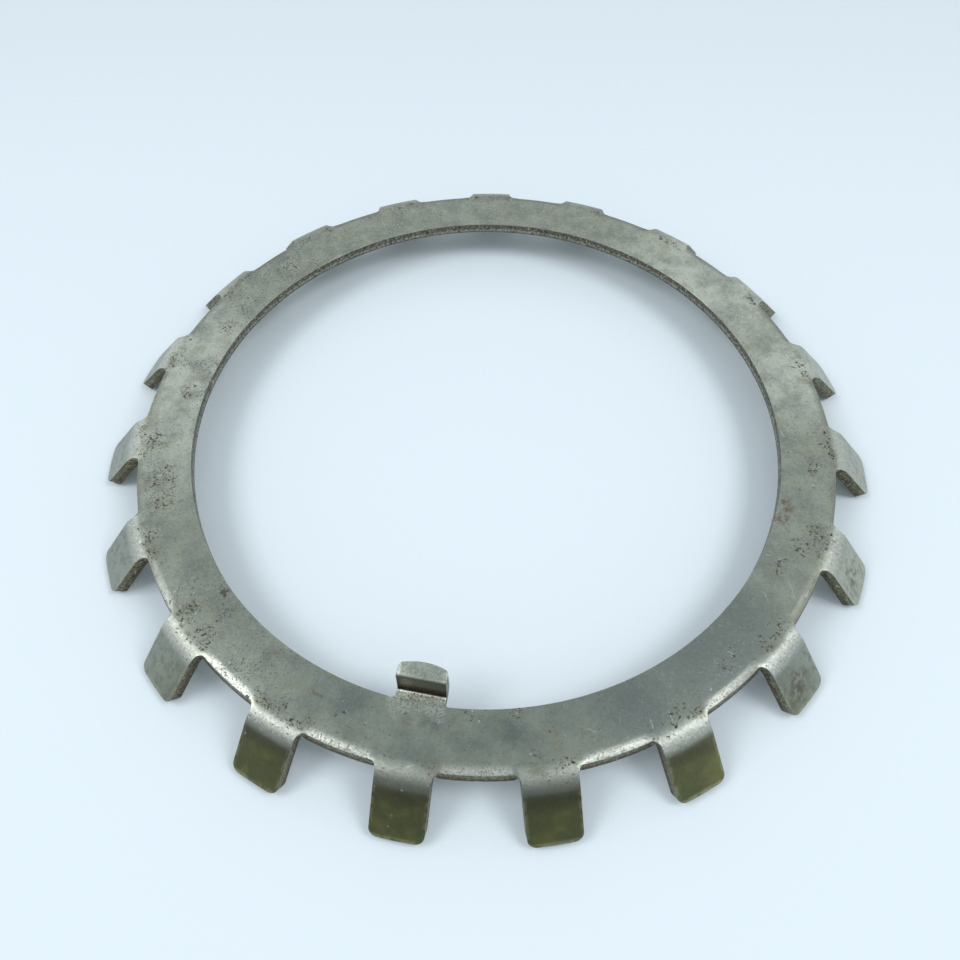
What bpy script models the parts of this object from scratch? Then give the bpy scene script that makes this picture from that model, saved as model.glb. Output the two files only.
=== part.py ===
"""Tab lock washer, stamped and formed from one sheet: a flat ring with a bore for the shaft, a rim that
curls down into nineteen flared tabs for the nut, and one joggled tang inside the bore for the keyway.

It is modelled the way it is made. A flat blank is cut with square gaps, its corners and edges are
rounded, and then the rim is pressed down over a round die. The tang is a solid of its own that is
joined to the ring at the end.

Metres, +Z up. The origin is on the bore's axis, in the plane that the tab tips stand on, and the
tang points along -Y.
"""
import math

import bmesh
import bpy
from mathutils import Matrix, Vector

MM = 0.001

# Driving dimensions of the ring, from the bore out to its rim between the tabs
BORE_DIAMETER = 120.5 * MM
RING_WIDTH = 11.05 * MM
SHEET_THICKNESS = 2.35 * MM
EDGE_ROUNDING = 0.28 * MM

# Driving dimensions of the flared tabs, which reach out from the rim
TAB_COUNT = 19
TAB_WIDTH = 9.5 * MM
TAB_REACH = 9.65 * MM
FLARE_ANGLE = math.radians(48.0)
FLARE_BEND_RADIUS = 4.9 * MM
CURL_WIDTH = 1.0 * MM
TAB_ROOT_FILLET = 0.9 * MM
TAB_CORNER_RADIUS = 1.6 * MM

# Driving dimensions of the tang
TANG_WIDTH = 8.6 * MM
TANG_STEP_INSET = 1.65 * MM
TANG_RISE = 5.0 * MM
TANG_LEAN = math.radians(10.5)
TANG_TOP_LENGTH = 2.9 * MM
TANG_BEND_RADIUS = 0.45 * MM
TANG_END_RADIUS = 12.0 * MM
TANG_CORNER_RADIUS = 1.3 * MM
TANG_ROOT_FILLET = 0.7 * MM
TANG_SEAT_GAP = 0.02 * MM

# Fineness of the facets
TAB_COLUMNS = 3
GAP_COLUMNS = 3
FLARE_ROWS = 3
ROUND_STEPS = 4
EDGE_STEPS = 1
MERGE = 0.01 * MM

# Sizes that follow from the driving dimensions
BORE_RADIUS = BORE_DIAMETER / 2
RIM_RADIUS = BORE_RADIUS + RING_WIDTH
TIP_RADIUS = RIM_RADIUS + TAB_REACH
TAB_ANGLE = math.tau / TAB_COUNT
TAB_HALF_ANGLE = math.asin(TAB_WIDTH / 2 / RIM_RADIUS)
BEND_START = RIM_RADIUS - CURL_WIDTH
RIM_SLOPE = math.asin(CURL_WIDTH / FLARE_BEND_RADIUS)
BEND_END = BEND_START + FLARE_BEND_RADIUS * math.sin(FLARE_ANGLE)
BEND_DROP = FLARE_BEND_RADIUS * (1 - math.cos(FLARE_ANGLE))
FLARE_LENGTH = (TIP_RADIUS - BEND_END) / math.cos(FLARE_ANGLE)
TIP_DROP = BEND_DROP + FLARE_LENGTH * math.sin(FLARE_ANGLE)
TOP_HEIGHT = TIP_DROP + (SHEET_THICKNESS - EDGE_ROUNDING) * math.cos(FLARE_ANGLE)
TANG_STEP_RUN = TANG_RISE * math.tan(TANG_LEAN)


def clear_scene():
    """Remove every object, so that the script can be run again in an open file."""
    for old in list(bpy.data.objects):
        bpy.data.objects.remove(old, do_unlink=True)


def new_collection(name):
    """Make a collection in the scene."""
    collection = bpy.data.collections.new(name)
    bpy.context.scene.collection.children.link(collection)
    return collection


def along_flare(slope):
    """Distance from the axis along the sheet's top face to where it slopes by this angle."""
    return BEND_START + FLARE_BEND_RADIUS * slope


def row_distances():
    """Distances from the axis, along the sheet, of the blank's rows of vertices."""
    slopes = [RIM_SLOPE + (FLARE_ANGLE - RIM_SLOPE) * row / FLARE_ROWS for row in range(FLARE_ROWS + 1)]
    flare = [along_flare(slope) for slope in slopes]
    return [BORE_RADIUS, BEND_START] + flare + [flare[-1] + FLARE_LENGTH]


def column_angles():
    """Bearings of the blank's columns of vertices over one tab and half a gap to each side."""
    tab = [TAB_HALF_ANGLE * (2 * column / TAB_COLUMNS - 1) for column in range(TAB_COLUMNS + 1)]
    half_gap = TAB_ANGLE / 2 - TAB_HALF_ANGLE
    gap = [TAB_HALF_ANGLE + half_gap * column / GAP_COLUMNS for column in range(1, GAP_COLUMNS + 1)]
    return [-angle for angle in reversed(gap)] + tab + gap


def cut_blank(shape):
    """Flat blank of one sector, a tab in its middle, repeated round the axis."""
    rows = row_distances()
    columns = column_angles()
    rim = along_flare(RIM_SLOPE)
    bmesh.ops.create_grid(shape, x_segments=len(rows) - 1, y_segments=len(columns) - 1, size=1.0)
    for vert in shape.verts:
        distance = rows[round((vert.co.x + 1) / 2 * (len(rows) - 1))]
        angle = columns[round((vert.co.y + 1) / 2 * (len(columns) - 1))]
        across = math.sin(angle) * min(distance, rim)
        vert.co = (math.sqrt(distance ** 2 - across ** 2), across, 0.0)
    side = TAB_WIDTH / 2 * rim / RIM_RADIUS
    waste = []
    for face in shape.faces:
        middle = face.calc_center_median()
        if middle.xy.length > rim and abs(middle.y) > side:
            waste.append(face)
    bmesh.ops.delete(shape, geom=waste, context="FACES")
    bmesh.ops.spin(shape, geom=shape.faces[:], axis=(0, 0, 1), angle=math.tau - TAB_ANGLE,
                   steps=TAB_COUNT - 1, use_duplicate=True)
    bmesh.ops.remove_doubles(shape, verts=shape.verts, dist=MERGE)


def thicken_blank(shape):
    """Give the blank the sheet's thickness, below its top face."""
    result = bmesh.ops.extrude_face_region(shape, geom=shape.faces[:], use_keep_orig=True)
    moved = [item for item in result["geom"] if isinstance(item, bmesh.types.BMVert)]
    bmesh.ops.translate(shape, verts=moved, vec=(0, 0, -SHEET_THICKNESS))
    bmesh.ops.recalc_face_normals(shape, faces=shape.faces)


def round_edges(shape, edges, radius, steps):
    """Round the edges to the radius."""
    bmesh.ops.bevel(shape, geom=edges, offset=radius, offset_type="OFFSET", affect="EDGES",
                    segments=steps, profile=0.5, material=-1, clamp_overlap=True)


def round_blank(shape):
    """Round the tabs' corners, fillet their roots and take the sharpness off the sheared edges."""
    upright = []
    for edge in shape.edges:
        first, second = edge.verts
        if abs(first.co.z - second.co.z) > SHEET_THICKNESS / 2 and edge.calc_face_angle() > math.radians(45):
            upright.append(edge)
    roots = [edge for edge in upright if not edge.is_convex]
    corners = [edge for edge in upright if edge.is_convex]
    round_edges(shape, roots, TAB_ROOT_FILLET, ROUND_STEPS)
    round_edges(shape, [edge for edge in corners if edge.is_valid], TAB_CORNER_RADIUS, ROUND_STEPS)
    sheared = [edge for edge in shape.edges if edge.calc_face_angle() > math.radians(60)]
    round_edges(shape, sheared, EDGE_ROUNDING, EDGE_STEPS)


def press_vertex(place):
    """Where a point of the flat blank lands when the rim is pressed down over the die."""
    distance = place.xy.length
    if distance <= BEND_START:
        return place + Vector((0, 0, TOP_HEIGHT))
    bearing = math.atan2(place.y, place.x)
    tab_bearing = round(bearing / TAB_ANGLE) * TAB_ANGLE
    across = distance * math.sin(bearing - tab_bearing)
    slope = min((distance - BEND_START) / FLARE_BEND_RADIUS, FLARE_ANGLE)
    straight = distance - along_flare(slope)
    radius = BEND_START + FLARE_BEND_RADIUS * math.sin(slope) + straight * math.cos(slope)
    drop = FLARE_BEND_RADIUS * (1 - math.cos(slope)) + straight * math.sin(slope)
    radius += place.z * math.sin(slope)
    height = TOP_HEIGHT - drop + place.z * math.cos(slope)
    pressed = Vector((math.sqrt(radius ** 2 - across ** 2), across, height))
    return Matrix.Rotation(tab_bearing, 3, "Z") @ pressed


def make_washer(collection):
    """Cut, round and press the sheet."""
    shape = bmesh.new()
    cut_blank(shape)
    thicken_blank(shape)
    round_blank(shape)
    for vert in shape.verts:
        vert.co = press_vertex(vert.co)
    mesh = bpy.data.meshes.new("tab_lock_washer")
    shape.to_mesh(mesh)
    shape.free()
    washer = bpy.data.objects.new("tab_lock_washer", mesh)
    washer.rotation_euler.z = math.radians(-90)
    collection.objects.link(washer)
    return washer


def arc(centre, radius, start, end, steps):
    """Points of an arc from the start angle to the end angle, both included."""
    points = []
    for step in range(steps + 1):
        angle = start + (end - start) * step / steps
        points.append(Vector(centre) + radius * Vector((math.cos(angle), math.sin(angle))))
    return points


def round_corner(before, corner, after, radius):
    """Points of the arc that rounds the corner between two straight runs."""
    back = (before - corner).normalized()
    ahead = (after - corner).normalized()
    half = back.angle(ahead) / 2
    centre = corner + (back + ahead).normalized() * radius / math.sin(half)
    first = corner + back * radius / math.tan(half) - centre
    last = corner + ahead * radius / math.tan(half) - centre
    start = math.atan2(first.y, first.x)
    return arc(centre, radius, start, start - first.angle_signed(last), ROUND_STEPS)


def mesh_from_outline(name, outline, depth):
    """A flat outline, extruded by half the depth to each side, as a closed mesh."""
    curve = bpy.data.curves.new(name, "CURVE")
    curve.dimensions = "2D"
    curve.fill_mode = "BOTH"
    curve.extrude = depth / 2
    spline = curve.splines.new("POLY")
    spline.points.add(len(outline) - 1)
    for point, place in zip(spline.points, outline):
        point.co = (place.x, place.y, 0.0, 1.0)
    spline.use_cyclic_u = True
    guide = bpy.data.objects.new(name, curve)
    bpy.context.scene.collection.objects.link(guide)
    graph = bpy.context.evaluated_depsgraph_get()
    mesh = bpy.data.meshes.new_from_object(guide.evaluated_get(graph))
    bpy.data.objects.remove(guide, do_unlink=True)
    shape = bmesh.new()
    shape.from_mesh(mesh)
    bmesh.ops.remove_doubles(shape, verts=shape.verts, dist=MERGE)
    bmesh.ops.recalc_face_normals(shape, faces=shape.faces)
    shape.to_mesh(mesh)
    shape.free()
    return mesh


def tool_object(name, mesh, collection):
    """An object that only cuts or joins: drawn as wire and left out of the model."""
    tool = bpy.data.objects.new(name, mesh)
    tool.display_type = "WIRE"
    tool.hide_render = True
    collection.objects.link(tool)
    return tool


def boolean(target, tool, operation):
    """Cut or join the target with the tool."""
    modifier = target.modifiers.new(tool.name, "BOOLEAN")
    modifier.operation = operation
    modifier.solver = "EXACT"
    modifier.object = tool


def tang_side_outline():
    """Side view of the tang: a flat root, a steep step up and a short level top, X away from the axis."""
    top = TOP_HEIGHT - TANG_SEAT_GAP
    under = TOP_HEIGHT - SHEET_THICKNESS + TANG_SEAT_GAP
    crest = top + TANG_RISE
    lip_under = crest - SHEET_THICKNESS
    embed = BORE_RADIUS + SHEET_THICKNESS
    back_shift = SHEET_THICKNESS / math.cos(TANG_LEAN)
    step_foot = BORE_RADIUS - TANG_STEP_INSET
    overrun = step_foot - TANG_STEP_RUN - TANG_TOP_LENGTH - SHEET_THICKNESS
    valley = Vector((step_foot, top))
    ridge = Vector((step_foot - TANG_STEP_RUN, crest))
    heel = Vector((step_foot - back_shift + (top - under) * math.tan(TANG_LEAN), under))
    notch = Vector((step_foot - back_shift - (lip_under - top) * math.tan(TANG_LEAN), lip_under))
    start = Vector((embed, top))
    finish = Vector((embed, under))
    end_top = Vector((overrun, crest))
    end_under = Vector((overrun, lip_under))
    outline = [start]
    outline += round_corner(start, valley, ridge, TANG_BEND_RADIUS)
    outline += round_corner(valley, ridge, end_top, TANG_BEND_RADIUS)
    outline += [end_top, end_under]
    outline += round_corner(end_under, notch, heel, TANG_BEND_RADIUS)
    outline += round_corner(notch, heel, finish, TANG_BEND_RADIUS + SHEET_THICKNESS)
    outline.append(finish)
    return outline


def tang_plan_outline():
    """Plan of the tang: fillets into the bore, parallel sides and a rounded, slightly bowed end."""
    half = TANG_WIDTH / 2
    embed = BORE_RADIUS + 2 * SHEET_THICKNESS
    offset = half + TANG_ROOT_FILLET
    centre_x = math.sqrt((BORE_RADIUS - TANG_ROOT_FILLET) ** 2 - offset ** 2)
    bearing = math.atan2(offset, centre_x)
    fillet = arc((centre_x, offset), TANG_ROOT_FILLET, bearing, -math.pi / 2, ROUND_STEPS)
    tip = BORE_RADIUS - TANG_STEP_INSET - TANG_STEP_RUN - TANG_TOP_LENGTH
    swing = math.asin((half - TANG_CORNER_RADIUS) / TANG_END_RADIUS)
    end = arc((tip + TANG_END_RADIUS, 0.0), TANG_END_RADIUS, math.pi - swing, math.pi + swing, ROUND_STEPS)
    shoulder = end[0]
    corner = shoulder + Vector((math.tan(swing), 1.0)) * (half - shoulder.y)
    corner_radius = (corner - shoulder).length * math.tan((math.pi / 2 + swing) / 2)
    rounding = round_corner(Vector((centre_x, half)), corner, shoulder, corner_radius)
    upper = [Vector((embed, offset))] + fillet + rounding[:-1]
    lower = [Vector((point.x, -point.y)) for point in reversed(upper)]
    return upper + end + lower


def round_upper_edges(mesh):
    """Round the edges of the tang's upper face, whose faces look up or towards the ring."""
    shape = bmesh.new()
    shape.from_mesh(mesh)
    outlook = Vector((1, 0, 1)).normalized()
    rolled = []
    for edge in shape.edges:
        upper_faces = [face for face in edge.link_faces if face.normal.dot(outlook) > 0.5]
        if len(upper_faces) == 1 and edge.calc_face_angle() > math.radians(50):
            rolled.append(edge)
    round_edges(shape, rolled, EDGE_ROUNDING, EDGE_STEPS)
    shape.to_mesh(mesh)
    shape.free()


def make_tang(collection):
    """The tang as a solid to join to the ring: its side view, cut to its plan."""
    side = mesh_from_outline("tang", tang_side_outline(), TANG_WIDTH + 6 * TANG_ROOT_FILLET)
    side.transform(Matrix(((1, 0, 0, 0), (0, 0, -1, 0), (0, 1, 0, 0), (0, 0, 0, 1))))
    plan = mesh_from_outline("tang_plan", tang_plan_outline(), 4 * (TOP_HEIGHT + TANG_RISE))
    strip = tool_object("tang_side", side, collection)
    outline = tool_object("tang_plan", plan, collection)
    boolean(strip, outline, "INTERSECT")
    graph = bpy.context.evaluated_depsgraph_get()
    mesh = bpy.data.meshes.new_from_object(strip.evaluated_get(graph))
    round_upper_edges(mesh)
    tang = tool_object("tang", mesh, collection)
    for tool in (tang, strip, outline):
        tool.rotation_euler.z = math.radians(-90)
    return tang


def steel_material():
    """Dull, handled steel."""
    material = bpy.data.materials.new("worn_steel")
    material.use_nodes = True
    shader = material.node_tree.nodes["Principled BSDF"]
    shader.inputs["Base Color"].default_value = (0.42, 0.43, 0.40, 1.0)
    shader.inputs["Metallic"].default_value = 1.0
    shader.inputs["Roughness"].default_value = 0.42
    return material


def main():
    clear_scene()
    parts = new_collection("tab_lock_washer")
    tools = new_collection("cutters")
    washer = make_washer(parts)
    boolean(washer, make_tang(tools), "UNION")
    washer.data.materials.append(steel_material())
    washer.data.shade_smooth()
    washer.data.set_sharp_from_angle(angle=math.radians(30))


main()
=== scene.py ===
"""Worn steel tab lock washer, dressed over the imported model.

The washer is shaped as its CAD node is: a flat blank is cut, thickened and rounded, and then its rim is
pressed down over a die. Here it has finer facets, and every corner of the mesh remembers where it lay on
the flat sheet, so that pits, wear and stains can follow the bends, edges and cut walls.

Metres, +Z up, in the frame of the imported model: the origin is on the bore's axis in the plane that the
tab tips stand on, and the tang points along -Y.
"""
import math

import bmesh
import bpy
from mathutils import Matrix, Vector

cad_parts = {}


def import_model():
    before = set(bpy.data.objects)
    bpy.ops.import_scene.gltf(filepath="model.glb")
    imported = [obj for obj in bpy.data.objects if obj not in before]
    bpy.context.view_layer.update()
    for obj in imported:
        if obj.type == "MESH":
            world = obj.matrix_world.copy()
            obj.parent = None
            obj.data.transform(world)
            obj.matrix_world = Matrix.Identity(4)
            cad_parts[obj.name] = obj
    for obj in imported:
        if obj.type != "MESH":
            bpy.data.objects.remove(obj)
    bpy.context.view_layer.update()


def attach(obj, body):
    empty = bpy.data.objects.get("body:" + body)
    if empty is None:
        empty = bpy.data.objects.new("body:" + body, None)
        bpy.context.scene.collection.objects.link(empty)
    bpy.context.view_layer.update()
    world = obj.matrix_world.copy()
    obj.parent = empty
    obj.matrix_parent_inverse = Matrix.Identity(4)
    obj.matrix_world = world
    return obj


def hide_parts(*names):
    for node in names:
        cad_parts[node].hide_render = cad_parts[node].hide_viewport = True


MM = 0.001

# Driving dimensions of the ring
BORE_DIAMETER = 120.5 * MM
RING_WIDTH = 11.05 * MM
SHEET_THICKNESS = 2.35 * MM
EDGE_ROUNDING = 0.28 * MM

# Driving dimensions of the flared tabs
TAB_COUNT = 19
TAB_WIDTH = 9.5 * MM
TAB_REACH = 9.65 * MM
FLARE_ANGLE = math.radians(48.0)
FLARE_BEND_RADIUS = 4.9 * MM
CURL_WIDTH = 1.0 * MM
TAB_ROOT_FILLET = 0.9 * MM
TAB_CORNER_RADIUS = 1.6 * MM
RIM_WALL_LEAN = 0.4 * MM
RIM_ROLL_DROP = 0.21 * MM

# Driving dimensions of the tang
TANG_WIDTH = 8.6 * MM
TANG_STEP_INSET = 1.90 * MM
TANG_RISE = 5.0 * MM
TANG_LEAN = math.radians(5.5)
TANG_TOP_LENGTH = 3.1 * MM
TANG_BEND_RADIUS = 0.45 * MM
TANG_END_RADIUS = 12.0 * MM
TANG_CORNER_RADIUS = 0.8 * MM
TANG_ROOT_FILLET = 0.7 * MM
TANG_SEAT_GAP = 0.02 * MM

# Round edges stand a little further out than the model's plain ones, so the tips are cut this much shorter
TIP_TRIM = 0.28 * MM

# Fineness of the mesh
TAB_COLUMNS = 4
GAP_COLUMNS = 6
CURL_ROWS = 3
ROLL_ROWS = 4
FLARE_ROWS = 14
ROUND_STEPS = 8
EDGE_STEPS = 3
MERGE = 0.005 * MM

# Edges that are rounded or shaded sharp, by the angle between their faces
CORNER_ANGLE = math.radians(45)
SHEARED_ANGLE = math.radians(60)
TANG_EDGE_ANGLE = math.radians(50)
SMOOTH_ANGLE = math.radians(28)

# Faces that are told apart by their normals: flats, rounded edges and cut walls, and the tang's faces
WALL_NORMAL_Z = 0.25
UPRIGHT_NORMAL_Z = 0.02
FLAT_NORMAL_Z = 0.98
TANG_UPPER_NORMAL = 0.5
TANG_SIDE_NORMAL_Y = 0.9
TANG_END_NORMAL_X = -0.7

# Sizes that follow from the driving dimensions
BORE_RADIUS = BORE_DIAMETER / 2
RIM_RADIUS = BORE_RADIUS + RING_WIDTH
TIP_RADIUS = RIM_RADIUS + TAB_REACH
TAB_ANGLE = math.tau / TAB_COUNT
TAB_HALF_ANGLE = math.asin(TAB_WIDTH / 2 / RIM_RADIUS)
BEND_START = RIM_RADIUS - CURL_WIDTH
RIM_SLOPE = math.asin(CURL_WIDTH / FLARE_BEND_RADIUS)
ROLL_START = BEND_START - CURL_WIDTH
BEND_END = BEND_START + FLARE_BEND_RADIUS * math.sin(FLARE_ANGLE)
BEND_DROP = FLARE_BEND_RADIUS * (1 - math.cos(FLARE_ANGLE))
FLARE_LENGTH = (TIP_RADIUS - BEND_END) / math.cos(FLARE_ANGLE)
TIP_DROP = BEND_DROP + FLARE_LENGTH * math.sin(FLARE_ANGLE)
TOP_HEIGHT = TIP_DROP + (SHEET_THICKNESS - EDGE_ROUNDING) * math.cos(FLARE_ANGLE)
TANG_STEP_RUN = TANG_RISE * math.tan(TANG_LEAN)
TANG_TURN = math.radians(-90)

# What the tang's corners are marked with: the middle of the ring's flat, and half way down a cut wall
TANG_ALONG = BORE_RADIUS / MM + 5
TANG_ACROSS = 5.0
TANG_WALL_DEPTH = 1.2

# The camera, from the round bore, the rim and the tab roots in the photograph of 960 by 960 pixels
PHOTO_SIDE = 960
FOCAL_PIXELS = 797.4
CAMERA_PLACE = Vector((18.4, -97.45, 144.3)) * MM
CAMERA_HEADING = math.radians(11.43)
CAMERA_PITCH = math.radians(57.70)
CAMERA_ROLL = math.radians(-0.70)
SENSOR_WIDTH = 36.0
CLIP_START = 0.01

# The stage: each card's grey, place, tilt in degrees, width and height, and each lamp's place, width and height
FLOOR_WIDTH = 6.0
PALE_FLOOR = (0.72, 0.81, 0.87, 1)
CARDS = (
    ("dark_card", 0.02, (0, -0.75, 0.38), 90, 1.6, 0.76),
    ("ceiling_card", 0.78, (0, -0.05, 0.80), 180, 1.0, 0.9),
)
LAMPS = (
    ("left_softbox", (-0.31, -0.14, 0.48), 0.28, 0.22),
    ("right_softbox", (0.31, -0.04, 0.49), 0.24, 0.22),
)
LAMP_POWER = 1.05
WORLD_SHOWN = (0.80, 0.86, 0.90, 1)
WORLD_LIT = (0.92, 0.97, 1.0, 1)
WORLD_LIT_STRENGTH = 0.65

# Marks and shades of the ring's upper face, in millimetres: place from the axis, and radius
PITTED_PATCHES = (
    (-66.1, -18.0, 4.6), (-60.5, -25.6, 4.4), (-58.3, -31.4, 4.0), (-57.6, -38.4, 4.0), (-63.4, -4.3, 3.4),
    (-44.2, -51.1, 3.4), (-40.0, -55.4, 3.8), (-27.4, -63.5, 2.0), (-22.5, -64.6, 2.4), (-17.8, -67.2, 2.1),
    (8.4, -60.5, 1.8), (16.3, -59.0, 2.1), (21.3, -65.2, 2.0), (42.4, -53.7, 3.0), (50.0, -44.3, 2.0),
    (59.5, -34.3, 2.2), (57.0, -38.5, 2.0), (67.2, -14.8, 4.2), (64.0, -18.4, 3.2), (59.4, -23.5, 2.4),
    (66.8, 0.5, 2.8), (64.5, 27.0, 2.4), (-54.2, 34.3, 4.0), (-62.2, 14.9, 3.2), (-32.8, 60.8, 2.8),
)
DARK_SPOTS = (
    (-39.6, -47.6, 1.0), (-12.9, -64.9, 0.6), (-10.3, -65.9, 0.5), (-8.0, -65.0, 0.55), (51.4, -41.2, 0.5),
    (63.8, -4.5, 0.7), (68.9, 6.4, 0.7), (59.9, -22.2, 0.6), (58.8, -24.6, 0.7), (63.8, 26.4, 0.7),
    (31.8, 62.1, 0.9), (-57.4, -28.1, 0.6), (-66.4, -17.4, 0.7), (-57.4, -39.2, 0.8),
)
RUST_SPOTS = (
    (60.9, -9.2, 2.3), (60.4, -12.6, 1.7), (28.8, -60.0, 0.8), (-1.2, -60.1, 1.4), (-17.4, -61.6, 1.3),
)
# Blue-grey patches, all in front of the ring: painted shade.
SHADED_BLUE_GREY_PATCHES = (
    (-11.9, -62.3, 5.5), (16.3, -62.1, 4.5), (3.4, -62.6, 3.6), (49.0, -43.0, 24.0), (36.0, -54.0, 15.0),
    (53.0, -35.0, 13.0),
)
# Lighter patches of the film at the back right, the right and the left: painted reflection.
PAINTED_SHEEN_PATCHES = ((44.0, 50.0, 31.0), (64.0, 24.0, 18.0), (-66.0, -4.0, 38.0))

# Brown stains on the tabs' outer faces, in millimetres: place from the axis, and radius
TAB_STAINS = ((64.5, -43.0, 4.4), (74.3, -20.4, 3.0), (75.5, -18.0, 1.8), (-70.5, -33.0, 2.0))
STAIN_HEIGHT = 5.0


def add_object(name, data):
    """A new object of the scene."""
    item = bpy.data.objects.new(name, data)
    bpy.context.scene.collection.objects.link(item)
    return item


# Shape of the sheet

def along_flare(slope):
    """Distance from the axis along the sheet's top face to where it slopes by this angle."""
    return BEND_START + FLARE_BEND_RADIUS * slope


def row_distances():
    """Distances from the axis, along the sheet, of the blank's first rows of vertices."""
    curl = [along_flare(RIM_SLOPE * row / CURL_ROWS) for row in range(CURL_ROWS + 1)]
    tip = along_flare(FLARE_ANGLE) + FLARE_LENGTH - TIP_TRIM
    roll = [ROLL_START + CURL_WIDTH * row / ROLL_ROWS for row in range(ROLL_ROWS)]
    return [BORE_RADIUS] + roll + curl + [tip]


def column_angles():
    """Bearings of the blank's columns of vertices over one tab and half a gap to each side."""
    tab = [TAB_HALF_ANGLE * (2 * column / TAB_COLUMNS - 1) for column in range(TAB_COLUMNS + 1)]
    half_gap = TAB_ANGLE / 2 - TAB_HALF_ANGLE
    gap = [TAB_HALF_ANGLE + half_gap * column / GAP_COLUMNS for column in range(1, GAP_COLUMNS + 1)]
    return [-angle for angle in reversed(gap)] + tab + gap


def cut_blank(shape):
    """Flat blank of one sector, a tab in its middle, repeated round the axis."""
    rows = row_distances()
    columns = column_angles()
    rim = along_flare(RIM_SLOPE)
    bmesh.ops.create_grid(shape, x_segments=len(rows) - 1, y_segments=len(columns) - 1, size=1.0)
    for vert in shape.verts:
        distance = rows[round((vert.co.x + 1) / 2 * (len(rows) - 1))]
        angle = columns[round((vert.co.y + 1) / 2 * (len(columns) - 1))]
        across = math.sin(angle) * min(distance, rim)
        vert.co = (math.sqrt(distance ** 2 - across ** 2), across, 0.0)
    side = TAB_WIDTH / 2 * rim / RIM_RADIUS
    waste = []
    for face in shape.faces:
        middle = face.calc_center_median()
        if middle.xy.length > rim and abs(middle.y) > side:
            waste.append(face)
    bmesh.ops.delete(shape, geom=waste, context="FACES")
    bmesh.ops.spin(shape, geom=shape.faces[:], axis=(0, 0, 1), angle=math.tau - TAB_ANGLE,
                   steps=TAB_COUNT - 1, use_duplicate=True)
    bmesh.ops.remove_doubles(shape, verts=shape.verts, dist=MERGE)


def thicken_blank(shape):
    """Give the blank the sheet's thickness, below its top face."""
    result = bmesh.ops.extrude_face_region(shape, geom=shape.faces[:], use_keep_orig=True)
    moved = [item for item in result["geom"] if isinstance(item, bmesh.types.BMVert)]
    bmesh.ops.translate(shape, verts=moved, vec=(0, 0, -SHEET_THICKNESS))
    bmesh.ops.recalc_face_normals(shape, faces=shape.faces)


def round_edges(shape, edges, radius, steps):
    """Round the edges to the radius."""
    bmesh.ops.bevel(shape, geom=edges, offset=radius, offset_type="OFFSET", affect="EDGES",
                    segments=steps, profile=0.5, material=-1, clamp_overlap=True)


def round_blank(shape):
    """Round the tabs' corners, fillet their roots and take the sharpness off the sheared edges."""
    upright = []
    for edge in shape.edges:
        first, second = edge.verts
        if abs(first.co.z - second.co.z) > SHEET_THICKNESS / 2 and edge.calc_face_angle() > CORNER_ANGLE:
            upright.append(edge)
    roots = [edge for edge in upright if not edge.is_convex]
    corners = [edge for edge in upright if edge.is_convex]
    round_edges(shape, roots, TAB_ROOT_FILLET, ROUND_STEPS)
    round_edges(shape, [edge for edge in corners if edge.is_valid], TAB_CORNER_RADIUS, ROUND_STEPS)
    sheared = [edge for edge in shape.edges if edge.calc_face_angle() > SHEARED_ANGLE]
    round_edges(shape, sheared, EDGE_ROUNDING, EDGE_STEPS)


def add_bend_rows(shape):
    """Cut each tab across where it will bend, so that the bend comes out round."""
    first = along_flare(RIM_SLOPE)
    last = along_flare(FLARE_ANGLE)
    for tab in range(TAB_COUNT):
        outward = Matrix.Rotation(tab * TAB_ANGLE, 3, "Z") @ Vector((1, 0, 0))
        for row in range(1, FLARE_ROWS + 1):
            reach = first + (last - first) * row / FLARE_ROWS
            faces = [face for face in shape.faces if face.calc_center_median().dot(outward) > first - TAB_WIDTH]
            edges = {edge for face in faces for edge in face.edges}
            verts = {vert for face in faces for vert in face.verts}
            bmesh.ops.bisect_plane(shape, geom=list(verts) + list(edges) + faces, dist=MERGE,
                                   plane_co=outward * reach, plane_no=outward)


def smooth_step(share):
    """0 below 0, 1 above 1 and a smooth rise between them."""
    share = min(max(share, 0), 1)
    return share * share * (3 - 2 * share)


def nearest_tab(place):
    """Bearing of the tab nearest to a point of the blank."""
    return round(math.atan2(place.y, place.x) / TAB_ANGLE) * TAB_ANGLE


def mark_sheet(shape):
    """Write on every corner where it lies on the flat sheet, for the materials to read.

    The rounded edges are shaded apart from the faces and the cut walls.
    """
    along = shape.loops.layers.float.new("along")
    across = shape.loops.layers.float.new("across")
    depth = shape.loops.layers.float.new("depth")
    tang = shape.loops.layers.float.new("tang")
    kinds = {}
    for face in shape.faces:
        face.normal_update()
        face.smooth = True
        face.material_index = 1 if abs(face.normal.z) < WALL_NORMAL_Z else 0
        rounded = UPRIGHT_NORMAL_Z < abs(face.normal.z) < FLAT_NORMAL_Z
        kinds[face] = "rounded" if rounded else round(face.normal.z)
        for corner in face.loops:
            place = corner.vert.co
            distance = place.xy.length
            bearing = math.atan2(place.y, place.x) - nearest_tab(place)
            corner[along] = distance / MM
            corner[across] = abs(distance * math.sin(bearing)) / MM
            corner[depth] = -place.z / MM
            corner[tang] = 0.0
    for edge in shape.edges:
        first, second = edge.link_faces
        edge.smooth = kinds[first] == kinds[second]


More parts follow.
